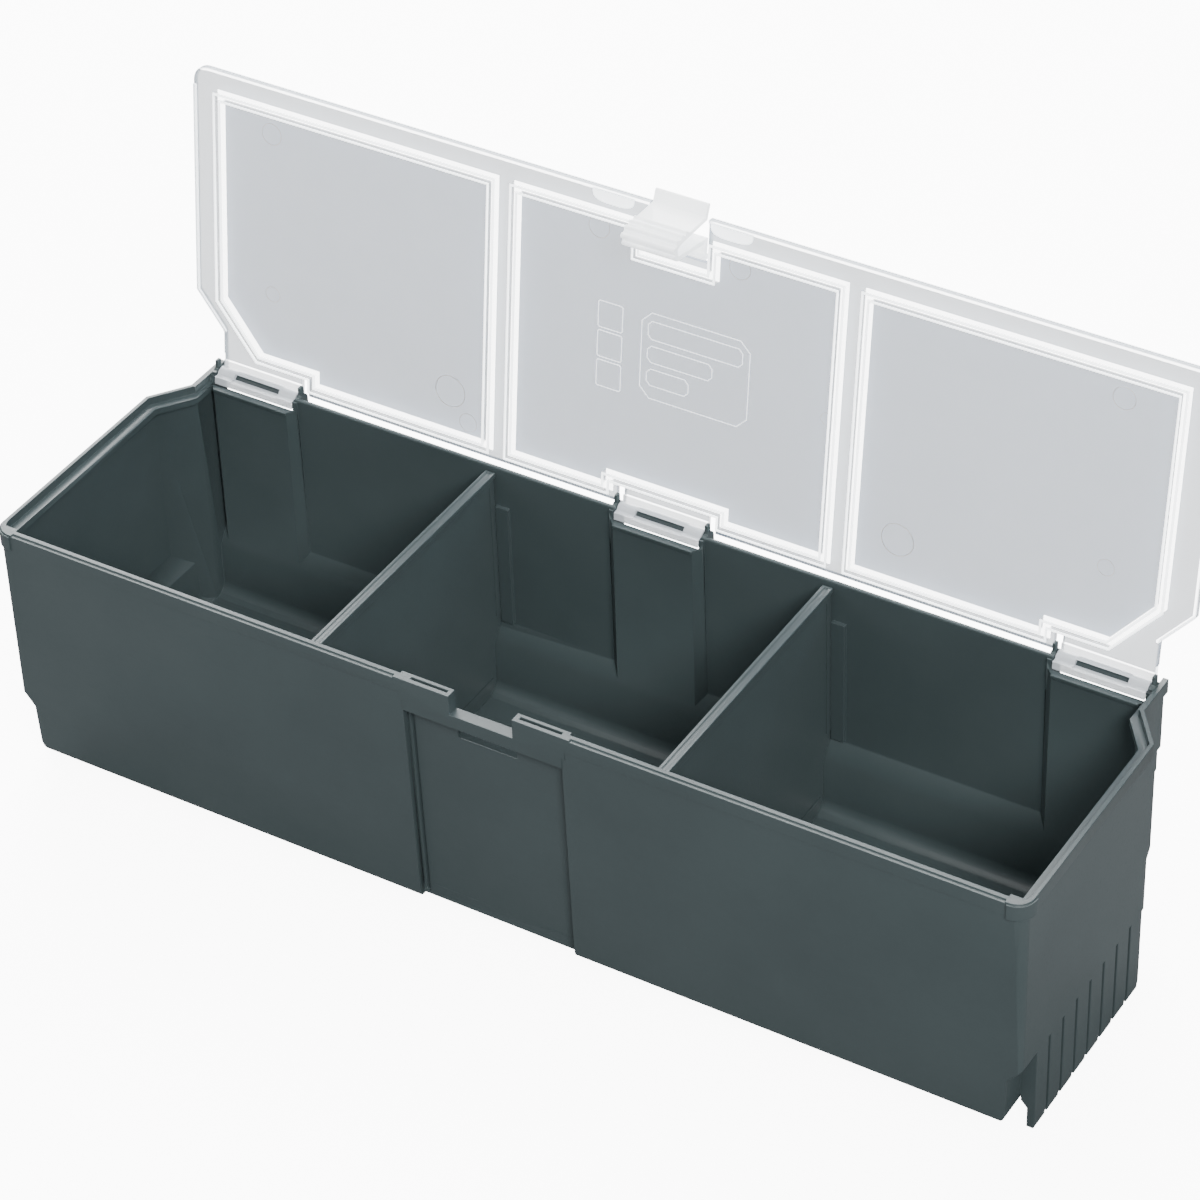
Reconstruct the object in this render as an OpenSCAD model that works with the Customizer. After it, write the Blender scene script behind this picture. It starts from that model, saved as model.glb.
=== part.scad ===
// Parts sorting tray: a long bin with three compartments, two lift-out dividers,
// a clear hinged lid and a clip on the lid's front edge.
// Millimetres, +Z up, front towards -Y. The bin stands on its side comb fins at z = 0.
// The lid is drawn standing open; lid_angle is how far it has turned from closed.

/* [Bin] */
// Overall length of the rim
bin_l = 316; // [280:1:360]
// Height of the bin from its underside to the rim
bin_h = 78; // [65:1:95]
// How far the comb fins reach below the underside
fin_drop = 6.5; // [3:0.5:9]
// Wall thickness
wall = 1.8; // [1.4:0.1:2.4]
// Floor thickness
floor_t = 1.8; // [1.4:0.1:3]
// How far the lower third steps in
step_in = 4.2; // [2:0.1:6]
// Radius where the front and rear walls meet the floor inside
floor_r = 4; // [2:0.5:4.5]

/* [Dividers] */
// Distance of each divider from the middle
divider_x = 53.4; // [40:0.1:70]
// Thickness of the divider plate
divider_t = 1.8; // [1.2:0.1:2.2]

/* [Lid] */
// How far the lid stands open
lid_angle = 97; // [60:1:105]
// Thickness of the lid panel
lid_t = 1.5; // [1:0.1:2]
// Height of the sealing ribs under the panel
seal_h = 2.6; // [1:0.1:3.5]
// Width of a sealing rib
seal_w = 2.4; // [1:0.1:3]

/* [Clip] */
// Width of the clip
clip_w = 16; // [10:1:17]
// Thickness of the clip's strips
clip_t = 1.3; // [1:0.1:1.6]

/* [Hinge] */
// Diameter of the hinge axles
axle_d = 2.4; // [1.8:0.1:2.8]
// Outside diameter of the lid knuckles
knuckle_d = 4.6; // [4:0.1:5]

/* [Hidden] */
$fn = 48;

hl = bin_l / 2;             // half length at the rim
zb = fin_drop;              // underside of the bin
zr = zb + bin_h;            // top of the rim
zf = zb + floor_t;          // inside floor
yf = -48.5;                 // front face at the rim
rear_x = hl - 8;            // half length behind the chamfers
y_rear = 43.3;              // outer face of the rear wall
y_end = 48.5;               // ends of the rear rails
lip = 1.2;                  // thin outer lip of the side rim
shelf = 3.8;                // width of lip and shelf together
shelf_drop = 2.5;           // shelf below the rim top
notch_x = 9.7;              // half width of the clip notch
apron_x = 24.5;             // half width of the front apron
apron_z = zr - 10.3;        // lower edge of the apron
ledge_z = zr - 6.2;         // top of the notch ledge

yh = 44.5;                  // hinge axis
zh = zr - 1.5;
tab_c = [-133.5, 0, 133.5]; // middles of the three hinge tabs
tab_h = 13.3;               // half width of a tab
pil_h = 15;                 // half width of a hinge pillar
pil_y = 38.8;               // front face of the pillars
mid_y = -5.38;               // brings the middle of the open box over the origin

// plan outline set in by o all round: square front with round corners, chamfered rear
module plan(o, r = 5, yb = y_rear) {
    x = hl - o;
    xr = rear_x - o;
    rr = max(r - o, 0.6);
    union() {
        polygon([[-x, yf + o + rr], [-x, 23 - 0.325 * o], [-xr, 34 - 0.325 * o], [-xr, yb - o],
                 [xr, yb - o], [xr, 34 - 0.325 * o], [x, 23 - 0.325 * o], [x, yf + o + rr]]);
        translate([-x + rr, yf + o]) square([2 * (x - rr), rr + 1]);
        for (s = [-1, 1]) translate([s * (x - rr), yf + o + rr]) circle(r = rr);
    }
}

// walls seen from the side, set in by o: drafted front, stepped rear, lower edges rounded
// by f, which is larger inside than outside
module side_profile(o, z0, z1) {
    f = o > 0 ? floor_r : 1.5;
    y0 = yf + 2.1 + o;
    y1 = y_rear - step_in - 0.1 - o;
    polygon([[yf + o, z1], [yf + o, zr], [y0, z0 + f], [y0 + 0.13 * f, z0 + 0.5 * f], [y0 + 0.5 * f, z0 + 0.13 * f],
             [y0 + f, z0], [y1 - f, z0], [y1 - 0.5 * f, z0 + 0.13 * f], [y1 - 0.13 * f, z0 + 0.5 * f],
             [y1, z0 + f], [y_rear - step_in - o, zb + 18 + o * 0.3], [y_rear - o, zb + 24.2 + o * 0.3],
             [y_rear - o, z1]]);
}

// walls seen from the front, set in by o: stepped sides with a round lower edge
module end_profile(o, z0, z1) {
    x = hl - 0.4 - o;
    xs = x - step_in;
    r = 3.5;
    for (s = [-1, 1]) scale([s, 1]) {
        polygon([[-1, z1], [x, z1], [x, zb + 21 + o * 0.3], [xs, zb + 16 + o * 0.3], [xs - 0.3, z0 + r],
                 [xs - 0.3 - r, z0], [-1, z0]]);
        translate([xs - 0.3 - r, z0 + r]) circle(r = r);
    }
}

module bin_solid(o, z0, z1) {
    intersection() {
        rotate([90, 0, 90]) translate([0, 0, -hl - 1]) linear_extrude(2 * hl + 2)
            side_profile(o, z0, z1);
        rotate([90, 0, 0]) translate([0, 0, -60]) linear_extrude(120) end_profile(o, z0, z1);
        translate([0, 0, z0 - 1]) linear_extrude(z1 - z0 + 2) plan(o);
    }
}

module box(a, b) { translate(a) cube(b - a); }

// a slab that leans with the front wall, from z0 to z1 and y0 to y1 at the rim
module leaning(x0, x1, y0, y1, z0, z1) {
    k = 2.1 / bin_h;
    rotate([90, 0, 90]) translate([0, 0, x0]) linear_extrude(x1 - x0)
        polygon([[y0 + (zr - z0) * k, z0], [y1 + (zr - z0) * k, z0],
                 [y1 + (zr - z1) * k, z1], [y0 + (zr - z1) * k, z1]]);
}

module rim() {
    // outer lip and the lower shelf inside it, along the sides and the chamfers
    difference() {
        translate([0, 0, zr - 4.6]) linear_extrude(4.6) plan(0, yb = y_rear + 1);
        translate([0, 0, zr - 5]) linear_extrude(6) plan(shelf, 6);
        difference() {
            translate([0, 0, zr - shelf_drop]) linear_extrude(4) plan(lip, 6);
            box([-hl, yf - 1, zr - 6], [hl, yf + 3.4, zr + 3]);
        }
        box([-rear_x + 3, 30, zr - 6], [rear_x - 3, 60, zr + 3]);
        box([-hl + 6, yf + 2.4, zr - 6], [hl - 6, yf + 9, zr + 3]);
    }
    // deeper round caps on the two front corners
    for (s = [-1, 1]) scale([s, 1, 1]) intersection() {
        translate([0, 0, zr - 5.2]) linear_extrude(4.7) difference() { plan(-0.5, 5); plan(1.2, 5); }
        box([hl - 5.5, yf - 2, zr - 9], [hl + 2, yf + 5.5, zr + 2]);
    }
}

module apron() {
    difference() {
        union() {
            box([-apron_x, yf, apron_z], [apron_x, yf + 1.4, zr]);
            box([-apron_x - 2.6, yf, zr - 4], [-apron_x + 1, yf + 1.4, zr]);
            box([apron_x - 1, yf, zr - 4], [apron_x + 2.6, yf + 1.4, zr]);
            // ends and top bars that tie the apron to the recessed wall
            for (s = [-1, 1]) scale([s, 1, 1]) {
                box([apron_x - 1.6, yf, zr - 7], [apron_x + 1, yf + 3.5, zr]);
                box([notch_x, yf, ledge_z - 1.6], [notch_x + 1.5, yf + 3.5, zr]);
            }
            box([-notch_x - 1, yf, ledge_z - 1.6], [notch_x + 1, yf + 3.5, ledge_z]);
        }
        box([-notch_x, yf - 1, ledge_z], [notch_x, yf + 6, zr + 1]);
    }
}

module pillar(c) {
    // front of the pillar, lower than the rim so that the lid tab can lie on it
    translate([c, pil_y, zf - 0.5]) linear_extrude(zh - zf - 0.9)
        polygon([[-pil_h + 2.4, 0], [pil_h - 2.4, 0], [pil_h, 2.4], [pil_h, 3.4], [pil_h - 1.4, 3.4],
                 [pil_h - 1.4, 1.7], [-pil_h + 1.4, 1.7], [-pil_h + 1.4, 3.4], [-pil_h, 3.4], [-pil_h, 2.4]]);
    box([c - pil_h + 2.4, pil_y - 0.5, zh - 2.4], [c + pil_h - 2.4, pil_y + 1.7, zh - 1.4]);
    // cheeks that carry the axle
    for (s = [-1, 1]) {
        x0 = c + s * (pil_h - 0.7);
        difference() {
            union() {
                box([x0 - 0.7, pil_y + 2.4, zf - 0.5], [x0 + 0.7, y_rear - 0.2, zh - 1.4]);
                box([x0 - 0.7, pil_y + 2, zh - 9], [x0 + 0.7, yh, zr - 0.1]);
                box([x0 - 0.7, pil_y + 2, zh - 9], [x0 + 0.7, yh + 2.2, zh]);
                // thin finger that shows in the gap beside the lid tab
                box([x0 - 0.45, yh - 0.8, zh], [x0 + 0.45, yh + 0.8, zh + 4.6]);
                translate([x0, yh, zh]) rotate([0, 90, 0]) cylinder(r = 2.2, h = 1.4, center = true);
            }
            translate([x0, yh, zh]) rotate([0, 90, 0]) cylinder(d = axle_d, h = 3, center = true);
        }
    }
}

// the open space behind a pillar, where the knuckle turns
module pillar_back(c) {
    box([c - pil_h + 1.4, pil_y + 1.7, zb - 1], [c + pil_h - 1.4, 60, zr + 2]);
}

module rear_rail(s) {
    scale([s, 1, 1]) {
        box([rear_x - 1.6, 33.5, zr - 4.3], [rear_x, y_end, zr]);
        box([rear_x - 1.6, 33.5, zb + 57], [rear_x, y_rear + 2.7, zr]);
        box([rear_x - 1.6, 33.5, zb + 50.5], [rear_x, y_rear + 0.8, zr]);
    }
}

module fins(s) {
    // comb of upright fins in the undercut of each side wall, flush with the wall
    for (i = [0:7]) {
        y0 = -38.05 + 7.75 * i;
        scale([s, 1, 1]) {
            box([hl - 0.4 - step_in - 1, y0, zb + 4], [hl - 1.2, y0 + 6.55, zb + 15.5]);
            rotate([90, 0, 0]) translate([0, 0, -(y0 + 6.55)]) linear_extrude(6.55)
                polygon([[hl - 0.4 - 2.4, 0], [hl - 0.7, 0], [hl - 0.4, 3], [hl - 0.4, zb + 22],
                         [hl - 0.4 - step_in, zb + 17.5], [hl - 0.4 - step_in, zb + 2],
                         [hl - 0.4 - 2.4, zb]]);
        }
    }
}

// seat for the lid's edge: the shelf along the sides and the rear chamfers
module lid_seat() {
    translate([0, 0, zr - shelf_drop]) linear_extrude(4) difference() {
        plan(lip, 6);
        plan(shelf + 0.4, 6);
        translate([-hl, yf - 1]) square([2 * hl, 4.4]);
        translate([-rear_x + 3, 30]) square([2 * rear_x - 6, 30]);
    }
}

module tray_body() {
    color("#4c5a5c") {
        difference() {
            union() {
                difference() {
                    bin_solid(0, zb, zr);
                    bin_solid(wall, zf, zr + 2);
                    // recessed middle of the front wall
                    leaning(-apron_x, apron_x, yf - 3, yf + 2.3, zb - 2, zr + 3);
                }
                rim();
                difference() {
                    leaning(-apron_x - 1.6, apron_x + 1.6, yf + 2.3, yf + 3.5, zb + 0.4, zr);
                    // window below the apron, its sill falling away inwards
                    rotate([90, 0, 90]) translate([0, 0, -9.1]) linear_extrude(18.2)
                        polygon([[yf - 1, zb + 62.6], [yf + 2.8, zb + 62.6], [yf + 4.2, zb + 61.2],
                                 [yf + 6, zb + 61.2], [yf + 6, zb + 68.4], [yf - 1, zb + 68.4]]);
                }
                apron();
            }
            lid_seat();
            // low outer step along the front rim
            box([-hl + 6, yf - 1, zr - 0.5], [-apron_x - 2.6, yf + 1, zr + 1]);
            box([apron_x + 2.6, yf - 1, zr - 0.5], [hl - 6, yf + 1, zr + 1]);
            // narrow groove down the left edge of the recess
            leaning(-apron_x + 0.1, -apron_x + 1.6, yf + 2, yf + 3, zb + 1.2, zr - 12);
            // notch for the clip and the narrow slots beside it
            box([-notch_x, yf - 1, ledge_z], [notch_x, yf + 6, zr + 1]);
            box([-22.4, yf + 1.4, zr - 8], [-notch_x - 1.3, yf + 2.25, zr + 1]);
            box([notch_x + 1.6, yf + 1.4, zr - 8], [24, yf + 2.25, zr + 1]);
            for (c = tab_c) pillar_back(c);
        }
        for (c = tab_c) pillar(c);
        for (s = [-1, 1]) {
            rear_rail(s);
            fins(s);
            // guide strip on the rear wall beside each divider
            x0 = s * divider_x + divider_t / 2 + 0.3;
            box([x0, y_rear - wall - 1.1, zb + 25], [x0 + 4.2, y_rear - wall + 0.2, zb + 65.7]);
            // low pair of ribs that hold the divider's foot
            for (k = [-1, 1]) box([s * divider_x + k * (divider_t / 2 + 0.7) - 0.5, -43.5, zf - 0.5],
                                  [s * divider_x + k * (divider_t / 2 + 0.7) + 0.5, -36, zf + 2.5]);
        }
    }
}

module divider(s) {
    x0 = s * divider_x;
    zt = zr - 1.0;
    k = 2.1 / bin_h;
    color("#566365") {
        translate([x0 - divider_t / 2, 0, 0]) rotate([90, 0, 90]) linear_extrude(divider_t)
            difference() {
                polygon([[yf + wall + 0.35 + (zr - zt) * k, zt - 0.5], [yf + wall + 0.35 + (zr - zf - 4) * k, zf + 4.3],
                         [-39.4, zf], [31, zf], [37, zf + 6], [37, zb + 18.3], [41.1, zb + 25], [41.1, zt - 0.5]]);
                translate([31, zf - 1]) square([7, 1]);
            }
        // round rear foot
        translate([x0 - divider_t / 2, 31, zf + 6]) rotate([0, 90, 0]) cylinder(r = 6, h = divider_t);
        // thicker top bar and raised border
        difference() {
            box([x0 - 1.6, yf + wall + 0.6, zt - 1.6], [x0 + 1.6, 41.1, zt]);
            box([x0 - 0.7, yf + wall + 1.4, zt - 0.35], [x0 + 0.7, 40.3, zt + 1]);
        }
        difference() {
            box([x0 - divider_t / 2 - 0.35, yf + 5.2, zf + 4], [x0 + divider_t / 2 + 0.35, 40.4, zt - 1]);
            box([x0 - 3, yf + 7.2, zf + 6], [x0 + 3, 38.4, zt - 3.5]);
            box([x0 - 3, 35, zf - 1], [x0 + 3, 44, zb + 28]);
        }
    }
}

module axle(c) {
    color("#3c4749") translate([c - pil_h, yh, zh]) rotate([0, 90, 0]) cylinder(d = axle_d, h = 2 * pil_h);
}

// everything on the lid is drawn closed, in hinge coordinates: v runs forward from the
// hinge axis and n runs down from it; then the lid is turned open
module on_lid() { translate([0, yh, zh]) rotate([-lid_angle, 0, 0]) children(); }
module slab(x0, x1, v0, v1, n0, n1) { translate([x0, -v1, -n1]) cube([x1 - x0, v1 - v0, n1 - n0]); }

pn = -1.7;                   // underside of the panel
reach = 94.6;                // hinge axis to the lid's front edge
lx = 156.2;                  // half length of the lid
clip_v = 83.1;               // turning line of the clip
clip_n = -2.4;

module lid_outline(o) {
    r = 5 - o;
    polygon([[-lx + o, -reach + 5], [-lx + o, -24 - 0.3 * o], [-147.1 + o, -13.4 - 0.3 * o],
             [-147.1 + o, -0.8 - o], [147.1 - o, -0.8 - o], [147.1 - o, -13.4 - 0.3 * o],
             [lx - o, -24 - 0.3 * o], [lx - o, -reach + 5]]);
    translate([-lx + 5, -reach + o]) square([2 * lx - 10, 6]);
    for (s = [-1, 1]) translate([s * (lx - 5), -reach + 5]) circle(r = r);
}

// outlines of the three sealing loops, set in by o
module loop_mid(o) {
    difference() {
        polygon([[-51 + o, -88.8 + o], [51 - o, -88.8 + o], [51 - o, -3.6 - o], [16.9 + o, -3.6 - o],
                 [16.9 + o, -7.6 - o], [-16.9 - o, -7.6 - o], [-16.9 - o, -3.6 - o], [-51 + o, -3.6 - o]]);
        translate([-10.4 - o, -95]) square([20.8 + 2 * o, 15.2 + o]);
    }
}
module loop_end(o) {
    polygon([[55.8 + o, -88.8 + o], [148 - o, -88.8 + o], [148 - o, -23.6 - o * 0.4],
             [134.3 - o * 0.4, -7.6 - o], [116.6 - o, -7.6 - o], [116.6 - o, -3.6 - o],
             [55.8 + o, -3.6 - o]]);
}

module lid() {
    color("#dfe6ea", 0.55) on_lid() difference() {
        union() {
            // panel
            translate([0, 0, -pn]) linear_extrude(lid_t) lid_outline(0);
            // thin bead round the edge
            translate([0, 0, -pn - 0.5]) linear_extrude(0.7) difference() {
                lid_outline(0);
                lid_outline(1);
                translate([-150, -13]) square([300, 14]);
                translate([-160, -93.4]) square([320, 4.9]);
            }
            // sealing ribs
            translate([0, 0, -pn - seal_h]) linear_extrude(seal_h + 0.2) {
                difference() { loop_mid(0); loop_mid(seal_w); }
                for (s = [-1, 1]) scale([s, 1]) difference() { loop_end(0); loop_end(seal_w); }
            }
            // knuckles
            for (c = tab_c) {
                translate([c - tab_h, 0, 0]) rotate([0, 90, 0]) cylinder(d = knuckle_d, h = 2 * tab_h);
                slab(c - tab_h, c + tab_h, 0, 4, pn - lid_t, pn + 0.6);
                slab(c - tab_h, c + tab_h, -knuckle_d / 2, 0, pn - lid_t + 0.9, 0);
                // heel that rests over the pillar when the lid stands open
                slab(c - tab_h, c + tab_h, -1.7, 0.6, 0, 3.7);
            }
        }
        for (c = tab_c) {
            translate([c - tab_h - 1, 0, 0]) rotate([0, 90, 0]) cylinder(d = axle_d + 0.1, h = 2 * tab_h + 2);
            // window in the knuckle and the gaps beside the tab
            slab(c - 7.7, c + 7.7, 0.2, 1.9, -0.9, 4);
            for (s = [-1, 1]) slab(c + s * (tab_h + 1.15) - 1.15, c + s * (tab_h + 1.15) + 1.15, -1, 5.8, -5, 3);
        }
        // notch for the clip
        slab(-8.9, 8.9, clip_v - 1.3, reach + 2, -6, 3);
    }
}

// one straight strip of the clip's section with round ends
module strip(p, q, t) {
    d = q - p;
    translate(p) rotate(atan2(d[1], d[0])) translate([0, -t / 2]) square([norm(d), t]);
    translate(p) circle(d = t + 0.1);
    translate(q) circle(d = t + 0.1);
}

module clip() {
    t = clip_t;
    // section in v and n: root, bend, foot, front bend, top of the front plate, finger lip
    pts = [[clip_v, clip_n], [88.0, clip_n], [88.9, 12.6], [91.9, 14.0], [93.2, 11.2], [94.6, -1.7],
           [97.9, -2.7]];
    color("#e9eef1", 0.7) on_lid() translate([-clip_w / 2, 0, 0])
        rotate([90, 0, 90]) linear_extrude(clip_w) scale([-1, -1]) difference() {
            union() {
                for (i = [0:5]) strip(pts[i], pts[i + 1], t);
                translate(pts[0]) circle(r = 1.05);
                // grip ridges on the front of the foot
                for (q = [[94.3, 8.2], [94.1, 10.4], [93.5, 12.6], [92.0, 14.5], [89.7, 13.7]])
                    translate(q) circle(r = 0.75);
            }
            translate(pts[0]) circle(r = 0.5);
        }
}

module clip_pin() {
    color("#c9d0d4") on_lid() translate([-9.6, -clip_v, -clip_n]) rotate([0, 90, 0]) cylinder(r = 0.45, h = 19.2);
}

module placed() { translate([0, mid_y, 0]) children(); }
placed() tray_body();
placed() divider(-1);  // divider_left
placed() divider(1);  // divider_right
placed() axle(tab_c[0]);  // axle_left
placed() axle(tab_c[1]);  // axle_middle
placed() axle(tab_c[2]);  // axle_right
placed() lid();
placed() clip();
placed() clip_pin();
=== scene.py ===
import math

import bmesh
import bpy
from mathutils import Matrix, Vector


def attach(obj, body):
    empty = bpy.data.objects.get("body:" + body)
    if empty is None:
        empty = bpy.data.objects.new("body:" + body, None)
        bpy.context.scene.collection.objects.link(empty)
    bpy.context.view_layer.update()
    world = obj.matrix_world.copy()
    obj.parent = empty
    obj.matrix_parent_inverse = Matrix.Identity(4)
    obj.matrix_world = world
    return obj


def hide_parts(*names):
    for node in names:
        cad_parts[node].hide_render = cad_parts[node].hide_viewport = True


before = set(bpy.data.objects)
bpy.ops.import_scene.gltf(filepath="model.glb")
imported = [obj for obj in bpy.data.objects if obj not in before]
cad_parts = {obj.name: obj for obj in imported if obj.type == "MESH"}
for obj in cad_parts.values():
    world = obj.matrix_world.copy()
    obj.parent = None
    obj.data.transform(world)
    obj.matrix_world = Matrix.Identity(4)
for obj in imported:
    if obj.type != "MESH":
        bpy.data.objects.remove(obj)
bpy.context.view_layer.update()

# The bin: one long injection moulding in dark slate polypropylene, with rolled rim, clip
# apron, hinge pillars and comb fins. Its edges have the small radius the mould gives them.

EDGE_R = 0.00018
WELD = 2e-6                    # points closer than this are one point
FLAT = math.radians(0.6)       # faces this close to flat are joined
SHARP = math.radians(38)       # edges sharper than this are rounded
CREASE = math.radians(48)      # edges sharper than this break the shading


def soft_edged_copy(node, name, edge):
    """The CAD node as a merged copy with its sharp edges rounded, all but the tiniest."""
    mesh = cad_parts[node].data.copy()
    mesh.materials.clear()
    b = bmesh.new()
    b.from_mesh(mesh)
    bmesh.ops.remove_doubles(b, verts=b.verts, dist=WELD)
    bmesh.ops.dissolve_limit(b, angle_limit=FLAT, verts=b.verts, edges=b.edges)
    tight = {v for e in b.edges if e.calc_length() < 2.1 * edge for v in e.verts}
    sharp = [e for e in b.edges
             if e.is_manifold and e.calc_face_angle(0) > SHARP and not tight.intersection(e.verts)]
    bmesh.ops.bevel(b, geom=sharp, offset=edge, offset_type="OFFSET", segments=2, profile=0.5,
                    affect="EDGES", clamp_overlap=False)
    b.to_mesh(mesh)
    b.free()
    mesh.shade_smooth()
    mesh.set_sharp_from_angle(angle=CREASE)
    piece = bpy.data.objects.new(name, mesh)
    bpy.context.collection.objects.link(piece)
    even = piece.modifiers.new("even_shading", "WEIGHTED_NORMAL")
    even.keep_sharp, even.weight = True, 90
    plain_mesh(piece)
    return piece


def plain_mesh(piece):
    """Applies the modifiers, so that the mesh holds the finished shape."""
    evaluated = piece.evaluated_get(bpy.context.evaluated_depsgraph_get())
    mesh = bpy.data.meshes.new_from_object(evaluated)
    piece.modifiers.clear()
    piece.data = mesh


def node_at(tree, kind, **sockets):
    """A new node with its inputs set; an underscore in a name stands for a space."""
    node = tree.nodes.new(kind)
    for key, value in sockets.items():
        node.inputs[key.replace("_", " ")].default_value = value
    return node


def moulded_skin():
    """Shared finish of moulded plastic: spark-eroded grain, flow clouds and fine scuffs."""
    g = bpy.data.node_groups.new("moulded_skin", "ShaderNodeTree")
    for name, kind, value in (("Grain", "NodeSocketFloat", 1400.0), ("Cloud", "NodeSocketFloat", 22.0),
                              ("Scuff", "NodeSocketFloat", 0.5)):
        g.interface.new_socket(name, in_out="INPUT", socket_type=kind).default_value = value
    for name in ("Height", "Cloud", "Scuff"):
        g.interface.new_socket(name, in_out="OUTPUT", socket_type="NodeSocketFloat")
    i, o = g.nodes.new("NodeGroupInput"), g.nodes.new("NodeGroupOutput")
    where = g.nodes.new("ShaderNodeTexCoord").outputs["Object"]
    grain = node_at(g, "ShaderNodeTexNoise", Detail=3.0, Roughness=0.6)
    cloud = node_at(g, "ShaderNodeTexNoise", Detail=4.0, Roughness=0.55)
    stretch = g.nodes.new("ShaderNodeMapping")
    stretch.inputs["Scale"].default_value = (1.0, 9.0, 6.0)
    stretch.inputs["Rotation"].default_value = (0.3, 0.5, 0.4)
    scuff = node_at(g, "ShaderNodeTexNoise", Scale=160.0, Detail=5.0, Roughness=0.7)
    ramp = g.nodes.new("ShaderNodeMapRange")
    ramp.inputs["From Min"].default_value, ramp.inputs["From Max"].default_value = 0.56, 0.74
    amount = g.nodes.new("ShaderNodeMath")
    amount.operation = "MULTIPLY"
    link = g.links.new
    link(where, grain.inputs["Vector"])
    link(where, cloud.inputs["Vector"])
    link(where, stretch.inputs["Vector"])
    link(stretch.outputs["Vector"], scuff.inputs["Vector"])
    link(i.outputs["Grain"], grain.inputs["Scale"])
    link(i.outputs["Cloud"], cloud.inputs["Scale"])
    link(scuff.outputs["Fac"], ramp.inputs["Value"])
    link(ramp.outputs["Result"], amount.inputs[0])
    link(i.outputs["Scuff"], amount.inputs[1])
    link(grain.outputs["Fac"], o.inputs["Height"])
    link(cloud.outputs["Fac"], o.inputs["Cloud"])
    link(amount.outputs["Value"], o.inputs["Scuff"])
    return g


SKIN = moulded_skin()


SCUFF_DULLS = 0.16             # how much roughness a full scuff adds


def plastic(name, dark, light, rough, grain=1400.0, bump=0.25, scuff=0.5):
    """Moulded plastic: colour drifts from dark to light in clouds, scuffs dull the gloss."""
    m = bpy.data.materials.new(name)
    m.use_nodes = True
    t = m.node_tree
    shader = t.nodes["Principled BSDF"]
    skin = t.nodes.new("ShaderNodeGroup")
    skin.node_tree = SKIN
    skin.inputs["Grain"].default_value, skin.inputs["Scuff"].default_value = grain, scuff
    tint = t.nodes.new("ShaderNodeMix")
    tint.data_type = "RGBA"
    tint.inputs["A"].default_value, tint.inputs["B"].default_value = (*dark, 1), (*light, 1)
    spread = t.nodes.new("ShaderNodeMapRange")
    spread.inputs["From Min"].default_value, spread.inputs["From Max"].default_value = 0.3, 0.7
    dull = t.nodes.new("ShaderNodeMapRange")
    dull.inputs["To Min"].default_value = rough
    dull.inputs["To Max"].default_value = rough + SCUFF_DULLS
    relief = node_at(t, "ShaderNodeBump", Strength=bump, Distance=0.00006)
    link = t.links.new
    link(skin.outputs["Cloud"], spread.inputs["Value"])
    link(spread.outputs["Result"], tint.inputs["Factor"])
    link(tint.outputs["Result"], shader.inputs["Base Color"])
    link(skin.outputs["Scuff"], dull.inputs["Value"])
    link(dull.outputs["Result"], shader.inputs["Roughness"])
    link(skin.outputs["Height"], relief.inputs["Height"])
    link(relief.outputs["Normal"], shader.inputs["Normal"])
    shader.inputs["IOR"].default_value = 1.49
    return m


slate = plastic("slate_polypropylene", (0.052, 0.0715, 0.0745), (0.062, 0.083, 0.086), 0.40)
bin_shell = soft_edged_copy("tray_body", "bin_shell", EDGE_R)
bin_shell.data.materials.append(slate)
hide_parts("tray_body")
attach(bin_shell, "bin")

# The dividers: two flat plates in the same slate plastic with a thicker top bar and a
# raised border. They drop in between the low ribs on the floor and lift out by hand.

# painted light: the dividers' slate is a lighter copy of the bin's, standing in for the light their faces
# catch
slate_painted_lighter = plastic("divider_slate_painted_lighter", (0.060, 0.081, 0.084), (0.070, 0.092, 0.095), 0.38)
for side in ("left", "right"):
    plate = soft_edged_copy("divider_" + side, "divider_plate_" + side, EDGE_R)
    plate.data.materials.append(slate_painted_lighter)
    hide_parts("divider_" + side)
    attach(plate, "bin")

# The hinge axles: short round pins that bridge the pillars' cheeks, moulded in the same
# plastic and polished by the lid's knuckles.

axle_plastic = plastic("worn_axle_plastic", (0.04, 0.054, 0.057), (0.055, 0.07, 0.073), 0.3, scuff=1.0)
for place in ("left", "middle", "right"):
    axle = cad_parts["axle_" + place]
    axle.data.materials.clear()
    axle.data.materials.append(axle_plastic)

# The lid: one thin frosted moulding. The broad ribs that seal each compartment look whiter
# than the sheet because there is more milky plastic to see through.

def see_through(name, dark, light, rough, alpha, bump=0.25, painted_glow=0.0):
    """The lid's plastic: the moulded finish, partly clear, with an even painted glow that stands in for
    light the plastic catches.
    """
    m = plastic(name, dark, light, rough, grain=1100.0, bump=bump)
    shader = m.node_tree.nodes["Principled BSDF"]
    shader.inputs["Alpha"].default_value = alpha
    shader.inputs["Emission Color"].default_value = (0.95, 0.98, 1.0, 1)
    # painted light: the emission makes the plastic glow though it is no lamp
    shader.inputs["Emission Strength"].default_value = painted_glow
    return m


frosted = see_through("frosted_sheet", (0.165, 0.24, 0.345), (0.20, 0.275, 0.385), 0.34, 0.90, bump=0.35)
milky = see_through("milky_rib", (0.88, 0.92, 0.94), (0.95, 0.97, 0.98), 0.3, 0.3)
clear = see_through("clear_border", (0.30, 0.36, 0.43), (0.36, 0.42, 0.49), 0.28, 0.85, bump=0.3)
outer = see_through("clear_outer_skin", (0.55, 0.58, 0.60), (0.60, 0.63, 0.65), 0.3, 0.12)
knuckle = see_through("milky_knuckle", (0.70, 0.74, 0.78), (0.76, 0.80, 0.84), 0.26, 0.8)
# painted highlight: white with a strong glow, for the rib edges, lid rim lines, size plates and thumb
# pads
painted_glow_white = see_through("white_painted_glow", (0.94, 0.96, 0.97), (0.98, 0.99, 0.99), 0.22, 0.9, painted_glow=3.0)

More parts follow.
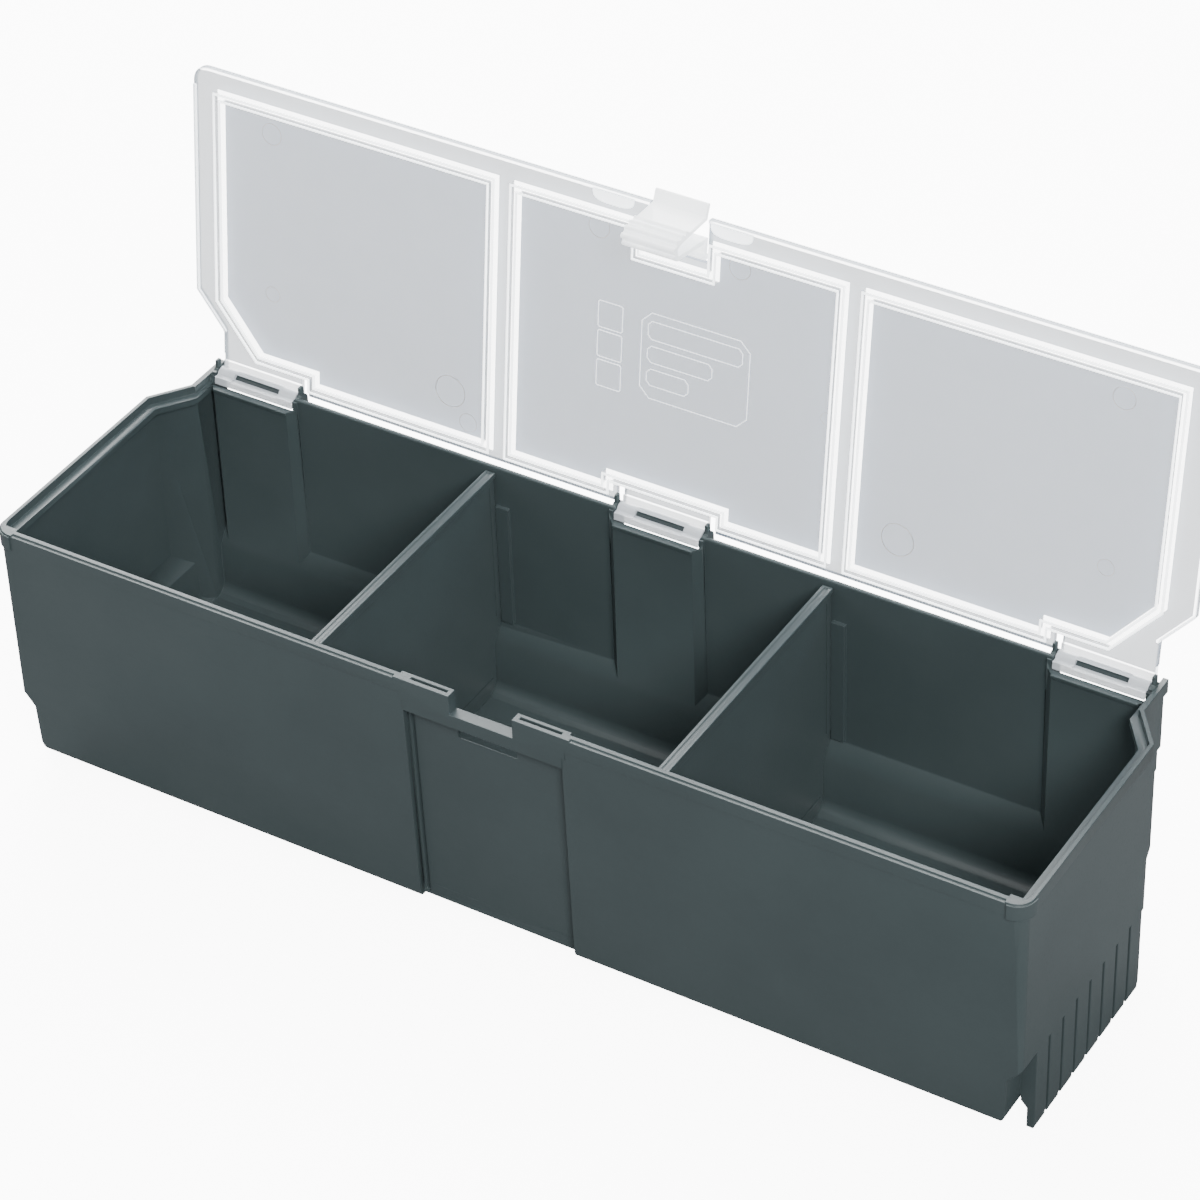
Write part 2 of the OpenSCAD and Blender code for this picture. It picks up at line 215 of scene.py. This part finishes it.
HINGE_Y, HINGE_Z, OPEN = 0.03912, 0.083, math.radians(-97)
PANEL_UNDER, OUTER_SKIN = -0.0017, -0.0029   # n of the underside, and just inside the top
BORDER_X, BORDER_Z = 0.1502, 0.1735          # the clear border lies beyond these, lid open
TAB_TOP = HINGE_Z + 0.0034                   # the knuckles lie below this, lid open


def lid_point(x, v, n):
    """A point of the shut lid, v forward from the hinge and n below it, swung open."""
    y, z = -v, -n
    return Vector((x, HINGE_Y + y * math.cos(OPEN) - z * math.sin(OPEN),
                   HINGE_Z + y * math.sin(OPEN) + z * math.cos(OPEN)))


def lid_depth(p):
    """How far a point of the open lid lies below the hinge axis once the lid is shut."""
    y, z = p.y - HINGE_Y, p.z - HINGE_Z
    return -(-y * math.sin(OPEN) + z * math.cos(OPEN))


LID_EDGE_R = 0.00016
lid_sheet = soft_edged_copy("lid", "lid_sheet", LID_EDGE_R)
SHEET, RIB, BORDER, SKIN_SIDE, TAB = range(5)
for finish in (frosted, milky, clear, outer, knuckle):
    lid_sheet.data.materials.append(finish)
points = lid_sheet.data.vertices
for p in lid_sheet.data.polygons:
    corners = [points[k].co for k in p.vertices]
    n = lid_depth(p.center)
    if n < OUTER_SKIN:
        p.material_index = SKIN_SIDE
    elif n > PANEL_UNDER + 0.00006:
        p.material_index = TAB if p.center.z < TAB_TOP else RIB
    elif any(abs(c.x) > BORDER_X or c.z > BORDER_Z for c in corners):
        p.material_index = BORDER
    else:
        p.material_index = SHEET
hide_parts("lid")
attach(lid_sheet, "lid")

# Raised lines on the lid, cut into the mould with a round tool: both edges of every sealing rib, the
# lid's own rim, and the blank size plates in the middle field. They glow white: painted highlight along
# the lines.

def raised_line():
    """Geometry Nodes: a round bead along every edge of the mesh it is given."""
    g = bpy.data.node_groups.new("raised_line", "GeometryNodeTree")
    g.is_modifier = True
    g.interface.new_socket("Geometry", in_out="INPUT", socket_type="NodeSocketGeometry")
    g.interface.new_socket("Radius", in_out="INPUT", socket_type="NodeSocketFloat")
    g.interface.new_socket("Material", in_out="INPUT", socket_type="NodeSocketMaterial")
    g.interface.new_socket("Geometry", in_out="OUTPUT", socket_type="NodeSocketGeometry")
    i, o = g.nodes.new("NodeGroupInput"), g.nodes.new("NodeGroupOutput")
    path = g.nodes.new("GeometryNodeMeshToCurve")
    profile = g.nodes.new("GeometryNodeCurvePrimitiveCircle")
    profile.inputs["Resolution"].default_value = 10
    sweep = g.nodes.new("GeometryNodeCurveToMesh")
    real = g.nodes.new("GeometryNodeRealizeInstances")
    paint = g.nodes.new("GeometryNodeSetMaterial")
    for a, b in ((i.outputs["Geometry"], path.inputs[0]), (path.outputs[0], sweep.inputs["Curve"]),
                 (i.outputs["Radius"], profile.inputs["Radius"]),
                 (profile.outputs["Curve"], sweep.inputs["Profile Curve"]),
                 (sweep.outputs["Mesh"], real.inputs[0]), (real.outputs[0], paint.inputs["Geometry"]),
                 (i.outputs["Material"], paint.inputs["Material"]), (paint.outputs[0], o.inputs[0])):
        g.links.new(a, b)
    return g


def grown(name, tree, mesh, **values):
    """A piece that a Geometry Nodes tree grows from mesh, left as a plain mesh."""
    piece = bpy.data.objects.new(name, mesh)
    bpy.context.collection.objects.link(piece)
    m = piece.modifiers.new(name, "NODES")
    m.node_group = tree
    for item in tree.interface.items_tree:
        if item.in_out == "INPUT" and item.name in values:
            m[item.identifier] = values[item.name]
    plain_mesh(piece)
    piece.data.shade_smooth()
    return piece


def outlines(loops, closed=True):
    """Mesh of outlines: each a list of (x, v) in millimetres and a depth n in metres."""
    verts, edges = [], []
    for points, n in loops:
        start, count = len(verts), len(points)
        verts += [lid_point(x / 1000, v / 1000, n) for x, v in points]
        edges += [(start + k, start + (k + 1) % count) for k in range(count if closed else count - 1)]
    mesh = bpy.data.meshes.new("outlines")
    mesh.from_pydata(verts, edges, [])
    return mesh


# Lid measures in millimetres: x from the middle of the lid, v forward from the hinge axis.
LID_HALF, LID_REACH, CORNER_R, NECK_HALF = 156.2, 94.6, 5.0, 147.1
NOTCH_HALF, NOTCH_V = 8.9, 82.0
RIB_FRONT, RIB_BACK, JOG_V = 88.8, 3.6, 7.6
POCKET_HALF, POCKET_V = 10.4, 79.8
MIDDLE_HALF, MIDDLE_JOG = 51.0, 16.9
END_INNER, END_OUTER, END_JOG = 55.8, 148.0, 116.6
CHAMFER_X, CHAMFER_V = 134.3, 23.6


def middle_rib(o):
    """Outline of the middle sealing rib, set in by o."""
    side = [(POCKET_HALF + o, POCKET_V - o), (POCKET_HALF + o, RIB_FRONT - o),
            (MIDDLE_HALF - o, RIB_FRONT - o), (MIDDLE_HALF - o, RIB_BACK + o),
            (MIDDLE_JOG + o, RIB_BACK + o), (MIDDLE_JOG + o, JOG_V + o)]
    return side + [(-x, v) for x, v in reversed(side)]


def end_rib(o, s):
    """Outline of the sealing rib at end s of the lid, set in by o."""
    side = [(END_INNER + o, RIB_FRONT - o), (END_OUTER - o, RIB_FRONT - o),
            (END_OUTER - o, CHAMFER_V + 0.4 * o), (CHAMFER_X - 0.4 * o, JOG_V + o),
            (END_JOG - o, JOG_V + o), (END_JOG - o, RIB_BACK + o), (END_INNER + o, RIB_BACK + o)]
    return [(s * x, v) for x, v in side]


RIB_H, RIB_W, BEAD = 0.0026, 2.4, 0.00042
RIB_FOOT = PANEL_UNDER + RIB_H - 0.0001
rib_edges = []
for inset in (0.3, RIB_W - 0.3):
    rib_edges += [(line, RIB_FOOT) for line in (middle_rib(inset), end_rib(inset, 1), end_rib(inset, -1))]
bead_tree = raised_line()
rib_beads = grown("rib_beads", bead_tree, outlines(rib_edges), Radius=BEAD, Material=painted_glow_white)
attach(rib_beads, "lid")


def lid_edge(o):
    """Half of the lid's outline set in by o, from the notch round the front corner to the hinge."""
    r = CORNER_R - o
    corner = [(LID_HALF - CORNER_R + r * math.sin(a), LID_REACH - CORNER_R + r * math.cos(a))
              for a in (math.pi * k / 12 for k in range(7))]
    neck = [(LID_HALF - o, 24 + 0.3 * o), (NECK_HALF - o, 13.4 + 0.3 * o), (NECK_HALF - o, 1.5)]
    return [(NOTCH_HALF + o, NOTCH_V), (NOTCH_HALF + o, LID_REACH - o)] + corner + neck


EDGE_INSET, EDGE_BEAD = 0.3, 0.00024
edge_lines = []
for s in (-1, 1):
    half = [(s * x, v) for x, v in lid_edge(EDGE_INSET)]
    edge_lines += [(half, n) for n in (-0.0020, -0.0029)]
edge_beads = grown("edge_beads", bead_tree, outlines(edge_lines, closed=False),
                   Radius=EDGE_BEAD, Material=painted_glow_white)
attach(edge_beads, "lid")


def plate(x0, x1, v0, v1, cut):
    """Outline of a blank plate with its corners cut off."""
    return [(x0 + cut, v0), (x1 - cut, v0), (x1, v0 + cut), (x1, v1 - cut),
            (x1 - cut, v1), (x0 + cut, v1), (x0, v1 - cut), (x0, v0 + cut)]


PLATE_BEAD = 0.00008
plates = [plate(-23.6, -16, v, v + 8, 0.4) for v in (35, 44, 53)]
plates += [plate(-10, 23.2, 36, 62, 3)]
plates += [plate(-8, x, v, v + h, 1.2) for x, v, h in ((21, 54, 5.5), (12, 47, 5), (5, 40, 5))]
size_plates = grown("size_plates", bead_tree, outlines([(p, PANEL_UNDER) for p in plates]),
                    Radius=PLATE_BEAD, Material=painted_glow_white)
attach(size_plates, "lid")

# Ejector marks and the two thumb pads beside the clip: faint rings where the mould's pins
# pushed the lid out, and half-round lands at the front edge.

def pin_marks():
    """Geometry Nodes: a thin ring lying in the lid at every point, sized by its mark_r."""
    g = bpy.data.node_groups.new("pin_marks", "GeometryNodeTree")
    g.is_modifier = True
    g.interface.new_socket("Geometry", in_out="INPUT", socket_type="NodeSocketGeometry")
    g.interface.new_socket("Wire", in_out="INPUT", socket_type="NodeSocketFloat")
    g.interface.new_socket("Material", in_out="INPUT", socket_type="NodeSocketMaterial")
    g.interface.new_socket("Geometry", in_out="OUTPUT", socket_type="NodeSocketGeometry")
    i, o = g.nodes.new("NodeGroupInput"), g.nodes.new("NodeGroupOutput")
    ring = g.nodes.new("GeometryNodeCurvePrimitiveCircle")
    ring.inputs["Resolution"].default_value, ring.inputs["Radius"].default_value = 40, 1.0
    wire = g.nodes.new("GeometryNodeCurvePrimitiveCircle")
    wire.inputs["Resolution"].default_value = 8
    sweep = g.nodes.new("GeometryNodeCurveToMesh")
    size = g.nodes.new("GeometryNodeInputNamedAttribute")
    size.data_type = "FLOAT"
    size.inputs["Name"].default_value = "mark_r"
    place = g.nodes.new("GeometryNodeInstanceOnPoints")
    place.inputs["Rotation"].default_value = (OPEN, 0, 0)
    real = g.nodes.new("GeometryNodeRealizeInstances")
    paint = g.nodes.new("GeometryNodeSetMaterial")
    for a, b in ((ring.outputs["Curve"], sweep.inputs["Curve"]),
                 (i.outputs["Wire"], wire.inputs["Radius"]),
                 (wire.outputs["Curve"], sweep.inputs["Profile Curve"]),
                 (i.outputs["Geometry"], place.inputs["Points"]),
                 (sweep.outputs["Mesh"], place.inputs["Instance"]),
                 (size.outputs[0], place.inputs["Scale"]), (place.outputs[0], real.inputs[0]),
                 (real.outputs[0], paint.inputs["Geometry"]),
                 (i.outputs["Material"], paint.inputs["Material"]), (paint.outputs[0], o.inputs[0])):
        g.links.new(a, b)
    return g


marks = ((-24.3, 82.7, 3.2), (18.7, 83.1, 3.2), (-70.3, 17.8, 4.8), (-64.3, 9.6, 2.8), (47, 47, 1.8),
         (70.3, 17.8, 4.8), (-130, 80, 3.2), (130, 80, 3.2), (-130, 30, 2.4), (130, 30, 2.4))
WIRE = 0.035                   # thickness of a mark's ring, as a share of its radius
mark_mesh = bpy.data.meshes.new("mark_points")
mark_mesh.from_pydata([lid_point(x / 1000, v / 1000, PANEL_UNDER) for x, v, r in marks], [], [])
mark_r = mark_mesh.attributes.new("mark_r", "FLOAT", "POINT")
for k, (x, v, r) in enumerate(marks):
    mark_r.data[k].value = r / 1000
ejector_marks = grown("ejector_marks", pin_marks(), mark_mesh, Wire=WIRE, Material=milky)
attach(ejector_marks, "lid")

PAD_HALF, PAD_DEPTH, PAD_V, PAD_POWER = 6.4, 3.6, 93.9, 0.6
PAD_RISE = 0.00014             # how far the thumb pads stand proud


def pad_edge(x0):
    """Half-round outline of a thumb pad, its flat side along the lid's front edge."""
    return [(x0 + PAD_HALF * math.copysign(abs(math.cos(a)) ** PAD_POWER, math.cos(a)),
             PAD_V - PAD_DEPTH * math.sin(a) ** PAD_POWER)
            for a in (math.pi * k / 20 for k in range(21))]


lands = bmesh.new()
for x0 in (-20.2, 15.8):
    under, over = [[lands.verts.new(lid_point(x / 1000, v / 1000, n)) for x, v in pad_edge(x0)]
                   for n in (PANEL_UNDER - PAD_RISE, PANEL_UNDER + PAD_RISE)]
    lands.faces.new(under)
    lands.faces.new(over)
    for k in range(len(under)):
        lands.faces.new((under[k], under[k - 1], over[k - 1], over[k]))
bmesh.ops.recalc_face_normals(lands, faces=lands.faces)
land_mesh = bpy.data.meshes.new("thumb_pads")
lands.to_mesh(land_mesh)
lands.free()
# painted highlight: the thumb pads glow white
land_mesh.materials.append(painted_glow_white)
thumb_pads = bpy.data.objects.new("thumb_pads", land_mesh)
bpy.context.collection.objects.link(thumb_pads)
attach(thumb_pads, "lid")

# The clip: part of the lid's moulding, a folded strip that bends at its root and snaps over
# the bin's apron, with grip ridges round its foot. A thin pin stands at the bend.

CLIP_EDGE_R = 0.00012
# painted light: the clip's milky plastic and its pin glow, standing in for the light they catch
clip_painted_glow = see_through("milky_clip_painted_glow", (0.92, 0.945, 0.96), (0.97, 0.98, 0.985), 0.24, 0.72, painted_glow=1.0)
clip_strip = soft_edged_copy("clip", "clip_strip", CLIP_EDGE_R)
clip_strip.data.materials.append(clip_painted_glow)
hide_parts("clip")
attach(clip_strip, "clip")
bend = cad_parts["clip_pin"]
bend.data.materials.clear()
bend.data.materials.append(clip_painted_glow)

# The studio: a pale floor that runs out of sight, broad soft lamps above and in front, and
# a long lens looking down from the right.

floor_mesh = bpy.data.meshes.new("studio_floor")
floor_mesh.from_pydata([(-6, -4, 0), (6, -4, 0), (6, 8, 0), (-6, 8, 0)], [], [(0, 1, 2, 3)])
floor = bpy.data.objects.new("studio_floor", floor_mesh)
bpy.context.collection.objects.link(floor)
paper = bpy.data.materials.new("pale_paper")
paper.use_nodes = True
t = paper.node_tree
seen = t.nodes["Principled BSDF"]
seen.inputs["Base Color"].default_value = (0.9, 0.9, 0.9, 1)
seen.inputs["Roughness"].default_value = 0.9
seen.inputs["Specular IOR Level"].default_value = 0.1
seen.inputs["Emission Color"].default_value = (1, 1, 1, 1)
seen.inputs["Emission Strength"].default_value = 9.0
bounce = node_at(t, "ShaderNodeBsdfDiffuse", Color=(0.2, 0.205, 0.21, 1))
pick = t.nodes.new("ShaderNodeMixShader")
t.links.new(t.nodes.new("ShaderNodeLightPath").outputs["Is Camera Ray"], pick.inputs["Fac"])
t.links.new(bounce.outputs[0], pick.inputs[1])
t.links.new(seen.outputs[0], pick.inputs[2])
t.links.new(pick.outputs[0], t.nodes["Material Output"].inputs["Surface"])
floor_mesh.materials.append(paper)

world = bpy.data.worlds.new("studio")
bpy.context.scene.world = world
world.use_nodes = True
world.node_tree.nodes["Background"].inputs["Color"].default_value = (0.95, 0.975, 1.0, 1)
world.node_tree.nodes["Background"].inputs["Strength"].default_value = 0.35

for name, place, aim, size, power in (
    ("back_box", (-1.00, 1.56, 1.50), (0, 0, 0.05), 1.5, 105.0),
    ("top_box", (-0.2, 0.1, 2.1), (0, 0, 0.05), 1.4, 22.0),
    ("key_box", (1.5, -1.4, 1.8), (0, 0, 0.05), 0.9, 74.0),
    ("left_box", (-1.7, -1.2, 1.3), (0, 0, 0.05), 1.2, 10.0),
):
    lamp = bpy.data.lights.new(name, "AREA")
    lamp.shape, lamp.size, lamp.energy = "SQUARE", size, power
    o = bpy.data.objects.new(name, lamp)
    bpy.context.collection.objects.link(o)
    o.location = place
    o.rotation_euler = (Vector(aim) - Vector(place)).to_track_quat("-Z", "Y").to_euler()

CAMERA_AT = Vector((0.4990, -0.77338, 0.8064))
CAMERA_LOOK = Vector((-0.4239, 0.6621, -0.6180)).normalized()
CAMERA_UP = Vector((-0.2996, 0.5414, 0.7856))
lens = bpy.data.cameras.new("studio_camera")
lens.lens, lens.sensor_width = 131.55, 36.0
camera = bpy.data.objects.new("studio_camera", lens)
bpy.context.collection.objects.link(camera)
right = CAMERA_LOOK.cross(CAMERA_UP).normalized()
up = right.cross(CAMERA_LOOK)
turn = Matrix((right, up, -CAMERA_LOOK)).transposed()
camera.matrix_world = Matrix.Translation(CAMERA_AT) @ turn.to_4x4()
bpy.context.scene.camera = camera
